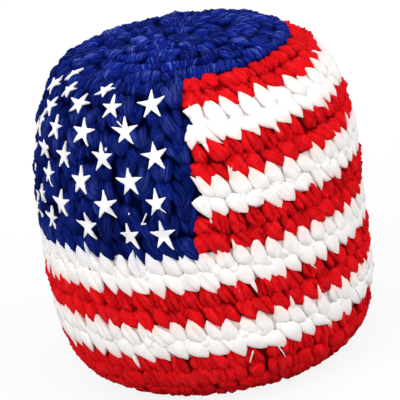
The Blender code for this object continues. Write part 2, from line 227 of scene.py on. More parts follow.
# How the stitches of a kind vary, as standard deviations: shift across and down, turn in degrees,
# size, and in millimetres the lift of a stitch and the lift of each of its legs
LOOSENESS = {
    "lower": (0.05, 0.06, 7.0, 0.06, 0.08, 0.14),
    "upper": (0.05, 0.07, 8.0, 0.06, 0.08, 0.14),
    "brim": (0.10, 0.10, 16.0, 0.10, 0.06, 0.10),
    "finger": (0.07, 0.08, 9.0, 0.08, 0.10, 0.10),
    "plump": (0.14, 0.12, 18.0, 0.14, 0.12, 0.14),
    "fleece": (0.12, 0.20, 15.0, 0.14, 0.15, 0.16),
    "pressed": (0.08, 0.08, 8.0, 0.08, 0.04, 0.04),
}

# For stitches of all kinds: the centre that they turn and grow about, spreads of their tips, height and
# slip, range of the legs' widths, and how much legs lap, thin out and lean from root to tip
STITCH_CENTRE = (0.55, 0.5)
TIP_SPREAD = 0.09
HEIGHT_SPREAD_SHARE = 0.7
SLIP_SPREAD_SHARE = 0.5
LEG_WIDTH_RANGE = (0.7, 1.3)
LEG_LAP = 0.04
LEG_THINNING = 0.12
LEG_LEAN = np.linspace(0.6, -1.0, 4)

# How much the legs of a stitch lean together at the bottom, in stitches
SPLAYS = {"fleece": 0.8, "plump": 0.4}

# Numbers of legs, each with its share of the stitches: by kind, or else by piece or colour
LEGS = {
    "lower": ((1, 0.75), (2, 0.25)),
    "brim": ((1, 0.35), (2, 0.65)),
    "finger": ((2, 0.85), (3, 0.15)),
    "crown": ((1, 0.35), (2, 0.65)),
    "canton": ((1, 0.15), (2, 0.60), (3, 0.25)),
    "red": ((1, 0.15), (2, 0.50), (3, 0.35)),
    "base": ((1, 0.60), (2, 0.40)),
    "white": ((1, 0.75), (2, 0.25)),
}

# Lobes that stand out: shares of the white stitches with a spike and of the lower ones with a knot,
# and spreads of a knob's place and of the others'
SPIKE_SHARE = 0.12
KNOT_SHARE = 0.75
KNOB_SPREAD = 0.08
EXTRA_SPREAD = 0.03

# Ends of the short stripes at the canton: the shares by which their first stitches are cut back, and
# the lobes that stand there, for the upper and the lower round
ENDS = {
    "red": ((0.25, 0.35), (("knob",), ("knob",))),
    "red_stitches_2": ((0.25, 0.25), ((), ())),
    "white_stitches_1": ((0.30, 0.30), (("horn",), ("cuff", "foot"))),
    "white_stitches_2": ((0.30, 0.50), (("spur",), ("wedge",))),
}
NO_ENDS = (0.0, 0.0), ((), ())

# One more stitch of the canton beside each middle stripe, in stitches from its front edge
EDGE_STITCH = -0.7

# The three yarns: ridges are in mm, squareness is of a leg's section, reach is of the teeth
Yarn = namedtuple("Yarn", "strands ridge twist squareness rise reach swell plumpness")
YARNS = {
    "blue": Yarn(3, 0.08, 2.4, 0.90, 1.0, 1.00, 0.9, 1.00),
    "red": Yarn(3, 0.06, 1.6, 0.95, 1.4, 1.00, 3.0, 1.00),
    "white": Yarn(3, 0.05, 0.8, 0.75, 0.9, 0.93, 1.2, 0.65),
}
TWIST_RANGE = (0.6, 1.4)
STRAND_SPACING = 1.3

# How far the yarn sinks in where it isn't pressed flat, and the depth below the crests that counts as a full
# hollow for the painted shade of hollows and painted highlight of crests, in mm
SINKS = {"blue": 0.12, "crown_stitches": 0.38, "red": 0.25, "red_stitches_1": 0.55, "white": 0.12}
HOLLOW_DEPTH = 1.3

# How far seams show in the yarn: over this reach the swells calm down and white yarn is painted pink with
# light bounced off the red (bluish beside the canton). Then over what height the crown's paler blue, painted
# as lit from above, fades, in rounds
SEAM_REACH = 0.55
CROWN_FADE = 2.5

# Mesh of a lobe, and the shares of its length that round off its root and its tip
RINGS = 12
SIDES = 16
ROUND_END = 0.2
TIP_END = 0.3

# A lobe's maps: runs of the yarn along and round it from a random start, and its own cell of the bake
# map, in the part that the backing leaves
YARN_RUNS = (3.4, 4.6)
YARN_STARTS = 40
CELL_MARGIN = 0.04
CELLS_PART = (1.0, 0.9)

# Backing under the lobes. The canton's runs on under the short stripes, and theirs begins a gap after it.
BACKING_LIFT = -0.0012
WHITE_BACKING_LIFT = -0.0008
BACKING_INSIDE = -0.0024
BACKING_STEP = 0.0012
BACKING_STEP_DEG = 3.0
CANTON_BACKING_LAP_DEG = 2.3
BACKING_GAP_DEG = 0.2
# The backing's marks paint it all over in the yarn's shade colour, as painted shade in the holes between
# lobes
BACKING_MARKS = {"tint": 0.5, "sunk": 1.0}
BACKING_RUNS = (60.0, 6.0)
BACKING_PART = (0.98, 0.08)
BACKING_CORNER = (0.01, 0.91)

# Stray white threads: ends as (azimuth in degrees, arc in mm), width and lift in mm. Then steps along
# a thread, its shares of that width and its dips in mm.
STRAY_THREADS = (
    ((9.7, 60.3), (8.0, 62.05), 0.24, 0.35),
    ((18.3, 60.4), (21.5, 63.25), 0.22, 0.35),
    ((34.5, 49.85), (36.5, 50.8), 0.16, 0.30),
    ((11.25, 32.1), (10.0, 32.85), 0.16, 0.30),
    ((-19.0, 37.3), (-21.2, 38.7), 0.24, 0.30),
    ((-21.5, 38.6), (-19.5, 38.65), 0.34, 0.25),
    ((-31.9, 27.8), (-31.6, 28.3), 0.30, 0.55),
    ((-25.1, 37.3), (-24.95, 37.55), 0.18, 0.35),
    ((-40.4, 38.7), (-40.1, 39.1), 0.30, 0.55),
    ((-28.2, 23.8), (-25.6, 24.8), 0.20, 0.35),
    ((-15.0, 36.00), (-12.25, 37.3), 0.22, 0.35),
)
THREAD_STEPS = np.array((0.0, 0.33, 0.67, 1.0))
THREAD_WIDTHS = np.array((1.0, 1.0, 0.8, 0.5))
THREAD_DIPS = np.array((0.25, 0.0, 0.0, 0.1))

# Slow unevenness of the cover, as waves: wavelengths across and down, and height, all in mm. Swells
# lift the yarn, less so far down and near a seam, and sways move it up and down the cover. The bag also
# sags in and bulges out: azimuth in degrees, arc, radius and depth in mm.
SWELLS = ((3.1, 4.3, 0.04), (-2.2, 2.9, 0.04), (1.6, -2.1, 0.05), (1.2, 1.1, 0.05), (-1.0, 1.7, 0.05))
CALM = (0.0, 0.25, 0.55, 0.68, 0.80), (0.6, 1.0, 1.0, 0.6, 0.2)
SEAM_CALM = 0.8
SWAYS = ((7.3, 11.0, 0.10), (-4.1, 8.0, 0.10), (5.3, -6.1, 0.08), (-3.2, 5.0, 0.07))
WAVE_PHASE = 1.7
SAGS = ((-91.0, 28.5, 6.0, 0.75), (-80.0, 50.0, 9.0, -0.30), (84.0, 48.0, 8.0, 0.35))

# Loops at the poles: mesh, fullness and ridges as shares of the yarn, strands and their turns
LOOP_STEPS = 60
LOOP_SIDES = 18
LOOP_FULLNESS = 1.12
LOOP_RIDGE = 0.12
LOOP_STRANDS = 3
LOOP_TURNS = 7
LOOP_RUNS = (12.0, 5.0)

# Colours of the yarns: the base; a paler colour for lighter fibres and hairs, which also paints the
# highlights;
# and a darker colour for mottling and darker hairs, which also paints the shade in hollows. Then shares of
# lighter fibres and of painted glints on the strands' crests (also of lighter hairs), strength of the bump,
# share of darker mottling, and the depths over which a hollow is painted in shade. A pair is low and high on
# the
# cover: the crown is painted paler, as lit from above.
Look = namedtuple("Look", "base light deep fibres strands fuzz mottle depths")
LOOKS = {
    "blue": Look(
        base=((0.003, 0.012, 0.162, 1), (0.001, 0.011, 0.222, 1)),
        light=((0.065, 0.102, 0.430, 1), (0.210, 0.300, 0.960, 1)),
        deep=((0.000, 0.002, 0.036, 1), (0.000, 0.003, 0.055, 1)),
        fibres=0.5, strands=0.35, fuzz=0.8, mottle=0.6, depths=(0.08, 0.55),
    ),
    "red": Look(
        base=(0.820, 0.006, 0.010, 1),
        light=(0.940, 0.030, 0.038, 1),
        deep=(0.220, 0.001, 0.003, 1),
        fibres=0.6, strands=0.5, fuzz=0.8, mottle=0.25, depths=(0.06, 0.65),
    ),
    "white": Look(
        base=(0.940, 0.920, 0.905, 1),
        light=(0.965, 0.955, 0.945, 1),
        deep=(0.760, 0.680, 0.655, 1),
        fibres=0.5, strands=0.3, fuzz=0.4, mottle=0.15, depths=(0.40, 1.10),
    ),
}
# Painted light bounced off the red yarn onto white beside the red stripes, and a bluish tint on white beside
# the canton
RED_BOUNCE_PINK = (0.970, 0.740, 0.690, 1)
BLUSH_BY_BLUE = (0.780, 0.800, 0.960, 1)

# Camera: fitted to the photograph, in units of the widest radius from the widest level
CAMERA_ELEVATION = math.radians(20.25)
CAMERA_DISTANCE = 13.29 * WIDEST_RADIUS
CAMERA_ROLL = math.radians(-8.32)
CAMERA_AIM = Vector((-0.0144 * WIDEST_RADIUS, 0.0, 0.0432 * WIDEST_RADIUS + WIDEST_LEVEL))
CAMERA_NEAR, CAMERA_FAR = 0.01, 20.0
FOCAL_PIXELS = 2172.5
PHOTO_PIXELS = 400
SENSOR_MM = 36.0
LENS_MM = SENSOR_MM * FOCAL_PIXELS / PHOTO_PIXELS

# Lamps as (direction, strength, angle in degrees), and the light from all round
SUNS = {
    "key": ((0.70, 0.70, -0.42), 1.6, 50),
    "fill": ((-0.85, 0.55, -0.28), 1.5, 60),
    "side": ((-0.95, 0.30, -0.15), 0.35, 60),
}
SKY_STRENGTH = 0.82

# Floor: half width, height just below the bag, and how much of its paleness is its own light
FLOOR_HALF = 3.0
FLOOR_LEVEL = -0.00003
FLOOR_GLOW = 0.85

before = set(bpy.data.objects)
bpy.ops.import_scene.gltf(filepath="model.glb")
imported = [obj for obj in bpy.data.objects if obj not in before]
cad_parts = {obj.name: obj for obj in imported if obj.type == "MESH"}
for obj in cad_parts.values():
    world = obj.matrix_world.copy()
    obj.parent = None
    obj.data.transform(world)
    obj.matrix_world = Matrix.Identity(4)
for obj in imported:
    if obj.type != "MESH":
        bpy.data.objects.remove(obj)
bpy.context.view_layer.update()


def crest_profile():
    """Arc length, radius, height above the widest level and outward normal, crown to base centre."""
    quarter = np.linspace(0.0, math.pi / 2, PROFILE_STEPS)
    across, along = np.sin(quarter), np.cos(quarter)
    upper_r = WIDEST_RADIUS * across ** (2 / CROWN_ROUNDNESS[1])
    upper_z = CROWN_RISE * along ** (2 / CROWN_ROUNDNESS[0])
    lower_r = WIDEST_RADIUS * across ** (2 / BASE_ROUNDNESS[1])
    lower_z = -BASE_DROP * along ** (2 / BASE_ROUNDNESS[0])
    radius = np.concatenate([upper_r, lower_r[-2::-1]])
    height = np.concatenate([upper_z, lower_z[-2::-1]])
    arc = np.concatenate([[0.0], np.cumsum(np.hypot(np.diff(radius), np.diff(height)))])
    slope_r, slope_z = np.gradient(radius, arc), np.gradient(height, arc)
    length = np.hypot(slope_r, slope_z)
    return arc, radius, height, -slope_z / length, slope_r / length


ARC, RADIUS, HEIGHT, NORMAL_R, NORMAL_Z = crest_profile()
WHOLE_ARC = ARC[-1]
CANTON_BACK = math.radians(CANTON_BACK_DEG)
CANTON_BACKING_FRONT = math.radians(CANTON_FRONT_DEG + CANTON_BACKING_LAP_DEG)


def radius_at(arc):
    return np.interp(arc, ARC, RADIUS)


def sag(azimuth, arc):
    """How far the bag sags in at these places."""
    total = 0.0
    for middle, level, wide, depth in SAGS:
        turn = np.remainder(azimuth - math.radians(middle) + math.pi, FULL_TURN) - math.pi
        far = np.hypot(turn * WIDEST_RADIUS, arc - level * MM) / (wide * MM)
        total = total + depth * MM * np.exp(-(far**2))
    return total


def on_cover(azimuth, arc, lift):
    """Points at these azimuths, arc lengths and lifts, pressed together near the floor, never below it."""
    lift = lift - sag(azimuth, arc)
    radius = radius_at(arc) + lift * np.interp(arc, ARC, NORMAL_R)
    level = np.interp(arc, ARC, HEIGHT) + lift * np.interp(arc, ARC, NORMAL_Z) + WIDEST_LEVEL
    pressed = PRESSED_HEIGHT * np.exp(np.minimum(level / PRESSED_HEIGHT - 1, 0.0))
    level = np.where(level < PRESSED_HEIGHT, pressed, level)
    return np.stack([radius * np.sin(azimuth), -radius * np.cos(azimuth), level], axis=-1)


def unevenness(waves, azimuth, arc):
    """Sum of waves over the cover, in millimetres."""
    across, down = azimuth * WIDEST_RADIUS / MM, arc / MM
    return sum(
        height * np.sin(FULL_TURN * (across / wide + down / tall) + WAVE_PHASE * number)
        for number, (wide, tall, height) in enumerate(waves)
    )


class Round:
    """One round of crochet, between two arc lengths. Its stitches count from the canton's front edge."""

    def __init__(self, top, bottom):
        self.top, self.bottom = top, bottom
        middle = (top + bottom) / 2
        groups = FULL_TURN * radius_at(middle) / (STITCHES_ADDED * STITCH_WIDTH)
        self.stitches = STITCHES_ADDED * max(1, round(groups))
        self.step = FULL_TURN / self.stitches
        self.turn = math.radians(CANTON_FRONT_DEG + CANTON_LEAN_DEG * (middle - CROWN_ARC) / ROUND_HEIGHT)
        canton = math.radians(CANTON_FRONT_DEG - CANTON_BACK_DEG)
        self.beside_canton = self.stitches - round(canton / self.step)

    def where(self, number):
        """Place and size of a stitch: azimuth, width in radians, arc and height."""
        return self.turn + number * self.step, self.step, self.top, self.bottom - self.top


def spaced_rounds(top, bottom):
    count = max(1, round((bottom - top) / ROUND_HEIGHT))
    seams = np.linspace(top, bottom, count + 1)
    return [Round(a, b) for a, b in zip(seams, seams[1:])]


def cover_rounds():
    """Rounds of the crown, of each stripe and of the base."""
    stripes, arc = [], CROWN_ARC
    for _ in range(STRIPES):
        seams = [arc + number * ROUND_HEIGHT for number in range(ROUNDS_PER_STRIPE + 1)]
        stripes.append([Round(a, b) for a, b in zip(seams, seams[1:])])
        arc = seams[-1]
    crown = spaced_rounds(POLE_HOLE_RADIUS, CROWN_ARC)
    return crown, stripes, spaced_rounds(arc, WHOLE_ARC - POLE_HOLE_RADIUS)


def bezier(control, t):
    """Values along cubic curves whose four control values are on the second axis."""
    u = 1 - t
    weights = np.stack([u**3, 3 * u * u * t, 3 * u * t * t, t**3])
    return np.einsum("mk...,kt->mt...", control, weights)


class Lobes:
    """The lobes of yarn of one piece, gathered stitch by stitch and made in one mesh with their backing."""

    def __init__(self, name, colour, legs, seed):
        self.name, self.colour, self.legs = name, colour, legs
        self.yarn = YARNS[colour]
        self.sink = SINKS.get(name, SINKS[colour])
        self.rng = np.random.default_rng(seed)
        self.lobes, self.bands = [], []
        self.borders = None

    def stitch(self, stitches, number, kind, inset=0.0):
        """One stitch: a single lobe, or legs side by side that meet at the tip."""
        rng = self.rng
        counts, shares = zip(*LEGS.get(kind, self.legs))
        left, right, crest, thick = (np.array(values) for values in LOBES[kind])
        crest = crest * self.yarn.rise - (0.0 if kind == "pressed" else self.sink)
        thick = thick * self.yarn.plumpness
        if kind in ("upper", "lower"):
            middle = float(kind == "upper")
            for side in (left, right):
                side[:, 1] = middle + (side[:, 1] - middle) * self.yarn.reach
        across, down, turn_deg, sizes, lifts, leg_lifts = LOOSENESS[kind]
        shift = rng.normal(0.0, (across, down))
        tip = rng.normal(0.0, TIP_SPREAD)
        turn = math.radians(rng.normal(0.0, turn_deg))
        size = 1 + rng.normal(0.0, (sizes, HEIGHT_SPREAD_SHARE * sizes))
        lift = rng.normal(0.0, lifts)
        legs = rng.choice(counts, p=shares)
        cuts = np.cumsum(rng.uniform(*LEG_WIDTH_RANGE, legs))
        cuts = np.concatenate([[0.0], cuts / cuts[-1]])
        spin = np.array(((math.cos(turn), -math.sin(turn)), (math.sin(turn), math.cos(turn))))

        def settle(side):
            side = (side - STITCH_CENTRE) @ spin.T * size + STITCH_CENTRE + shift
            side[-1, 1] += tip if kind == "lower" else -tip
            return side

        left, right = settle(left), settle(right)
        if inset:
            nearer = left if left[0, 0] < right[0, 0] else right
            nearer[:, 0] += inset
        thick, where = thick * (1 - LEG_THINNING * (legs - 1)), stitches.where(number)
        lap = LEG_LAP if legs > 1 else 0.0
        for start, end in zip(cuts, cuts[1:]):
            first = left + (right - left) * (start - lap)
            last = left + (right - left) * (end + lap)
            slip, wave = np.zeros((4, 2)), 0.0
            if legs > 1:
                slip[:, 0] = SPLAYS.get(kind, 0.0) * ((start + end) / 2 - 0.5) * LEG_LEAN
                slip[:, 1] = rng.normal(0.0, SLIP_SPREAD_SHARE * down)
                wave = rng.normal(0.0, leg_lifts)
            self.lobes.append((first + slip, last + slip, crest + lift + wave, thick, where))

    def extra(self, stitches, number, kind):
        """A lobe that stands out from its stitch."""
        left, right, crest, thick = (np.array(values) for values in LOBES[kind])
        shift = self.rng.normal(0.0, KNOB_SPREAD if kind == "knob" else EXTRA_SPREAD, 2)
        self.lobes.append((left + shift, right + shift, crest - self.sink, thick, stitches.where(number)))

    def thread(self, start, end, wide, lift):
        """A stray thread between two places, as (azimuth in degrees, arc in mm), with its width in mm."""
        start, end = (np.array((math.radians(azimuth), arc * MM)) for azimuth, arc in (start, end))
        scale = np.array((radius_at(start[1]), 1.0))
        middle = (start + (end - start) * THREAD_STEPS[:, None]) * scale
        along = (end - start) * scale / np.linalg.norm((end - start) * scale)
        aside = np.array((-along[1], along[0])) * wide * MM / 2 * THREAD_WIDTHS[:, None]
        left, right = (middle + aside) / scale, (middle - aside) / scale
        self.lobes.append((left, right, lift - THREAD_DIPS, np.full(4, wide / 2), (0.0, 1.0, 0.0, 1.0)))

    def shapes(self):
        """Each lobe's points in stitches and rounds, their lift in mm and how far they are on a strand."""
        yarn = self.yarn
        left, right, crest, thick, _ = (np.array(values) for values in zip(*self.lobes))
        t = (1 - np.cos(math.pi * (np.arange(RINGS) + 1) / (RINGS + 1))) / 2
        t = 0.5 * t + 0.5 * (np.arange(RINGS) + 1) / (RINGS + 1)
        left, right, crest, thick = (bezier(control, t) for control in (left, right, crest, thick))
        end = np.minimum(np.minimum(t / ROUND_END, (1 - t) / TIP_END), 1.0)
        taper = np.sqrt(1 - (1 - end) ** 2)
        angle = FULL_TURN * np.arange(SIDES) / SIDES
        across, rise = (np.sign(a) * np.abs(a) ** yarn.squareness for a in (np.cos(angle), np.sin(angle)))
        count = len(left)
        phase = self.rng.uniform(0, FULL_TURN, count)[:, None, None]
        lean = self.rng.uniform(*TWIST_RANGE, count)[:, None, None] * yarn.twist
        waves = np.cos(yarn.strands * math.pi * across / STRAND_SPACING + lean * t[None, :, None] + phase)
        above = np.maximum(rise, 0)
        centre, half = (left + right) / 2, (right - left) / 2 * taper[None, :, None]
        flat = centre[:, :, None, :] + half[:, :, None, :] * across[None, None, :, None]
        core = crest - thick
        lift = core[:, :, None] + (thick * taper)[:, :, None] * rise
        lift = lift + yarn.ridge * waves * above * taper[None, :, None]
        strand = (waves + 1) / 2 * above

        root, tip = (centre[:, a] * 1.5 - centre[:, b] * 0.5 for a, b in ((0, 1), (-1, -2)))
        flat = np.concatenate([flat.reshape(count, -1, 2), np.stack([root, tip], 1)], axis=1)
        lift = np.concatenate([lift.reshape(count, -1), core[:, [0, -1]]], axis=1)
        strand = np.concatenate([strand.reshape(count, -1), np.zeros((count, 2))], axis=1)
        return flat, lift, strand

    def points(self):
        """Points of the lobes on the cover, and the marks that the yarn's material reads there."""
        flat, lift, strand = self.shapes()
        where = np.array([lobe[-1] for lobe in self.lobes])
        azimuth = where[:, 0, None] + flat[:, :, 0] * where[:, 1, None]
        arc = where[:, 2, None] + flat[:, :, 1] * where[:, 3, None]
        # 1 on the crown, which the material paints paler as if lit from above, fading down into the canton
        high = 1 - np.clip((arc - CROWN_ARC + ROUND_HEIGHT) / (CROWN_FADE * ROUND_HEIGHT), 0, 1)
        edge = self.edge(azimuth, arc)
        swell = self.yarn.swell * (1 - SEAM_CALM * np.abs(edge)) * np.interp(arc / WHOLE_ARC, *CALM)
        lift = lift + swell * unevenness(SWELLS, azimuth, arc)
        arc = arc + unevenness(SWAYS, azimuth, arc) * MM
        tint = np.repeat(self.rng.uniform(0, 1, len(lift)), lift.shape[1])
        # How far below the crests: by it the material paints shade in the hollows and highlights on the
        # crests
        sunk = np.clip(-(lift + self.sink) / HOLLOW_DEPTH, -1, 1)
        edge = edge * (self.colour == "white")
        marks = {"tint": tint, "sunk": sunk, "strand": strand, "high": high, "edge": edge}
        return on_cover(azimuth, arc, lift * MM), {mark: values.ravel() for mark, values in marks.items()}

    def edge(self, azimuth, arc):
        """How near these places are to a seam: up to 1 beside a stripe, and to -1 beside the canton."""
        if self.borders is None:
            return np.zeros_like(arc)
        top, bottom, blue_from = self.borders
        near = 1 - np.clip(np.minimum(arc - top, bottom - arc) / (SEAM_REACH * ROUND_HEIGHT), 0, 1)
        beside_blue = (azimuth > blue_from) & (arc < (top + bottom) / 2)
        return np.where(beside_blue, -near, near)

    def make(self, yarn_name, nodes):
        """The piece: its lobes, each with its own cell of the bake map, and its bands of backing."""
        points, marks = self.points()
        count, per_lobe = points.shape[:2]
        quads, quad_uv, fans, fan_uv = lobe_faces()
        offsets = (np.arange(count) * per_lobe)[:, None, None]
        faces = (quads[None] + offsets).reshape(-1, 4).tolist()
        faces += (fans[None] + offsets).reshape(-1, 3).tolist()
        vertices = points.reshape(-1, 3)

        shift = self.rng.uniform(0, YARN_STARTS, (count, 2))[:, None, None]
        yarn_uv = [(uv[None] * YARN_RUNS + shift).reshape(-1, 2) for uv in (quad_uv, fan_uv)]
        columns = math.ceil(math.sqrt(count))
        cell = np.stack([np.arange(count) % columns, np.arange(count) // columns], axis=1)
        cell = cell[:, None, None] + CELL_MARGIN
        size = np.array(CELLS_PART) / columns
        bake_uv = [
            ((cell + (1 - 2 * CELL_MARGIN) * uv[None]) * size).reshape(-1, 2) for uv in (quad_uv, fan_uv)
        ]
        for closed, band in self.bands:
            down, wide = band.shape[:2]
            band_faces, places = grid_faces(down, wide, closed, len(vertices), -1)
            faces += band_faces
            vertices = np.concatenate([vertices, band.reshape(-1, 3)])
            for mark, values in marks.items():
                marks[mark] = np.append(values, np.full(down * wide, BACKING_MARKS.get(mark, 0.0)))
            yarn_uv.append(places * BACKING_RUNS)
            bake_uv.append(places * BACKING_PART + BACKING_CORNER)
        maps = np.concatenate(yarn_uv), np.concatenate(bake_uv)
        return yarn_piece(self.name, vertices, faces, maps, marks, self.colour, yarn_name, nodes)


def lobe_faces():
    """Corner indices of a lobe's faces, and each corner's place along and round the lobe."""
    quads, quad_uv, fans, fan_uv = [], [], [], []
    root, tip, last = RINGS * SIDES, RINGS * SIDES + 1, (RINGS - 1) * SIDES
    near_root, near_tip = 1 / (RINGS + 1), RINGS / (RINGS + 1)
    for j in range(SIDES):
        k = (j + 1) % SIDES
        here, between, there = (place / SIDES for place in (j, j + 0.5, j + 1))
        for i in range(RINGS - 1):
            quads.append((i * SIDES + j, i * SIDES + k, (i + 1) * SIDES + k, (i + 1) * SIDES + j))
            a, b = (i + 1) / (RINGS + 1), (i + 2) / (RINGS + 1)
            quad_uv.append(((a, here), (a, there), (b, there), (b, here)))
        fans += [(root, k, j), (last + j, last + k, tip)]
        fan_uv.append(((0, between), (near_root, there), (near_root, here)))
        fan_uv.append(((near_tip, here), (near_tip, there), (1, between)))
    return np.array(quads), np.array(quad_uv), np.array(fans), np.array(fan_uv)


def grid_faces(down, wide, closed=True, start=0, order=1):
    """Faces of rows of points round a section, closed across or capped, and each corner's place."""
    faces, places = [], []

    def add(corners):
        faces.append([start + (a % down) * wide + b % wide for a, b in corners])
        places.extend((b / wide, a / down) for a, b in corners)

    for i in range(down):
        for j in range(wide if closed else wide - 1):
            add(((i, j), (i, j + 1), (i + 1, j + 1), (i + 1, j))[::order])
    if not closed:
        for end, turn in ((0, 1), (wide - 1, -1)):
            for i in range(down // 2 - 1):
                add([(a, end) for a in (i, i + 1, down - 2 - i, down - 1 - i)][::turn])
    return faces, np.array(places)


def backing(span, top, bottom, lift=BACKING_LIFT):
    """Whether a band is closed, as one with a span of None is, and its rows of points round its section."""
    closed = span is None
    low, high = (0.0, FULL_TURN) if closed else span
    wide = max(2, round((high - low) / math.radians(BACKING_STEP_DEG)))
    azimuth = np.linspace(low, high, wide, endpoint=not closed)
    arcs = np.linspace(top, bottom, max(2, round((bottom - top) / BACKING_STEP)))
    rows = [on_cover(azimuth, np.full(wide, arc), lift) for arc in arcs]
    rows += [on_cover(azimuth, np.full(wide, arc), BACKING_INSIDE) for arc in arcs[::-1]]
    return closed, np.array(rows)


def link(name, data):
    item = bpy.data.objects.new(name, data)
    bpy.context.scene.collection.objects.link(item)
    return item


def add_piece(name, mesh, nodes):
    """Link a piece that rides on the bag's one body and stands for these nodes, which it hides."""
    piece = link(name, mesh)
    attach(piece, "root")
    if nodes:
        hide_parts(*nodes)
    return piece


def yarn_piece(name, vertices, faces, maps, marks, colour, yarn_name, nodes):
    mesh = bpy.data.meshes.new(name)
    mesh.from_pydata(vertices.tolist(), [], faces)
    mesh.polygons.foreach_set("use_smooth", np.ones(len(mesh.polygons), bool))
    for layer, uv in zip(("Yarn", "OFBake"), maps):
        mesh.uv_layers.new(name=layer).uv.foreach_set("vector", uv.astype(np.float32).ravel())
    for mark, values in marks.items():
        mesh.attributes.new(mark, "FLOAT", "POINT").data.foreach_set("value", values.astype(np.float32))
    mesh.materials.append(yarn_material(colour, yarn_name))
    mesh.update()
    piece = add_piece(name, mesh, nodes)
    return piece


class Graph:
    """The node tree of a new material or world, built by short calls."""

    def __init__(self, name, kind=bpy.data.materials):
        self.owner = kind.new(name)
        self.owner.use_nodes = True
        self.tree = self.owner.node_tree
        self.shader = self.tree.nodes.get("Principled BSDF")

    def node(self, kind, inputs=None, **settings):
        node = self.tree.nodes.new("ShaderNode" + kind)
        for key, value in settings.items():
            setattr(node, key, value)
        for key, value in (inputs or {}).items():
            self.feed(node.inputs[key], value)
        return node

    def feed(self, socket, value):
        if isinstance(value, bpy.types.NodeSocket):
            self.tree.links.new(value, socket)
        else:
            socket.default_value = value

    def place(self):
        return self.node("TexCoord").outputs["Object"]

    def ramp(self, value, low, high):
        """A value that runs from 0 at low to 1 at high."""
        inputs = {"Value": value, "From Min": low, "From Max": high}
        return self.node("MapRange", inputs, interpolation_type="SMOOTHSTEP").outputs[0]

    def part(self, value, low, high, share):
        """A share of a ramp."""
        return self.math("MULTIPLY", self.ramp(value, low, high), share)

    def blend(self, share, first, second):
        inputs = {0: share, 6: first, 7: second}
        return self.node("Mix", inputs, data_type="RGBA").outputs[2]

    def noise(self, vector, scale, detail=3.0, roughness=0.55):
        inputs = {"Vector": vector, "Scale": scale, "Detail": detail, "Roughness": roughness}
        return self.node("TexNoise", inputs).outputs["Fac"]

    def mapped(self, vector, **inputs):
        return self.node("Mapping", {"Vector": vector, **inputs}).outputs[0]

    def math(self, operation, first, second):
        return self.node("Math", {0: first, 1: second}, operation=operation).outputs[0]

    def finish(self, colour, height, strength, distance, roughness, gloss=0.5):
        """Give the shader its colour and bump, and plain values for how rough and how glossy it is."""
        bump = self.node("Bump", {"Height": height, "Strength": strength, "Distance": distance})
        self.feed(self.shader.inputs["Base Color"], colour)
        self.feed(self.shader.inputs["Normal"], bump.outputs[0])
        self.shader.inputs["Roughness"].default_value = roughness
        self.shader.inputs["Specular IOR Level"].default_value = gloss
        return self.owner


def yarn_material(colour, name):
    """Soft spun yarn: fibres that run along each leg, painted glints on the strands' crests, painted
    highlights on the legs' crests and painted shade in the hollows.
    """
    look = LOOKS[colour]
    graph = Graph(name)
    tint, sunk, strand, high, edge = (
        graph.node("Attribute", attribute_name=mark).outputs["Fac"]
        for mark in ("tint", "sunk", "strand", "high", "edge")
    )
    # Blue's colours run paler on the crown, painted as lit from above
    base, light, deep = (
        graph.blend(high, *tone) if isinstance(tone[0], tuple) else tone
        for tone in (look.base, look.light, look.deep)
    )
    along = graph.node("UVMap", uv_map="Yarn").outputs[0]
    fibres = graph.noise(graph.mapped(along, Scale=(0.55, 5.5, 1.0)), 1.0, 4.0, 0.6)
    hairs = graph.noise(graph.mapped(along, Scale=(1.6, 18.0, 1.0)), 1.0, 2.0, 0.6)
    clouds = graph.noise(graph.place(), 300.0, 2.5)

    shade = graph.blend(graph.part(fibres, 0.52, 0.74, look.fibres), base, light)
    # Painted glints: the paler colour along the crests of the strands on each leg's outer side
    glints = graph.part(strand, 0.35, 1.0, graph.ramp(fibres, 0.45, 0.65))
    shade = graph.blend(graph.math("MULTIPLY", glints, look.strands), shade, light)
    shade = graph.blend(graph.part(hairs, 0.60, 0.75, look.strands), shade, light)
    # Painted highlight: the paler colour on the crests of the legs, where they stand highest
    crest_highlight = graph.part(sunk, 0.02, -0.30, graph.ramp(fibres, 0.38, 0.62))
    shade = graph.blend(graph.math("MULTIPLY", crest_highlight, 0.55), shade, light)
    shade = graph.blend(graph.part(hairs, 0.55, 0.30, 0.3), shade, deep)
    toned = graph.math("ADD", graph.math("MULTIPLY", tint, 0.3), graph.math("MULTIPLY", clouds, 0.7))
    shade = graph.blend(graph.part(toned, 0.58, 0.32, look.mottle), shade, deep)
    # White painted pink near the red stripes, as light bounced off the red yarn, and bluish beside the canton
    shade = graph.blend(graph.part(edge, 0.0, 1.0, 0.8), shade, RED_BOUNCE_PINK)
    shade = graph.blend(graph.part(edge, 0.0, -1.0, 0.5), shade, BLUSH_BY_BLUE)
    # Painted shade: the hollows between the legs take the darker colour, more the deeper they lie
    shade = graph.blend(graph.ramp(sunk, *look.depths), shade, deep)
    height = graph.math("ADD", fibres, graph.math("MULTIPLY", hairs, 0.5))
    return graph.finish(shade, height, look.fuzz, 0.0002, 0.95, 0.03)


def felt_material(name, seed):
    graph = Graph(name)
    moved = graph.mapped(graph.place(), Location=(seed, 0.3 * seed, 0.7 * seed))
    speckle = graph.noise(moved, 2600.0, 3.0, 0.7)
    patches = graph.noise(moved, 700.0, 2.0)
    shade = graph.blend(graph.ramp(patches, 0.45, 0.75), (0.93, 0.93, 0.94, 1), (0.84, 0.83, 0.86, 1))
    shade = graph.blend(graph.part(speckle, 0.60, 0.75, 0.5), shade, (0.70, 0.70, 0.76, 1))
    return graph.finish(shade, speckle, 0.3, 0.0001, 0.9, 0.2)


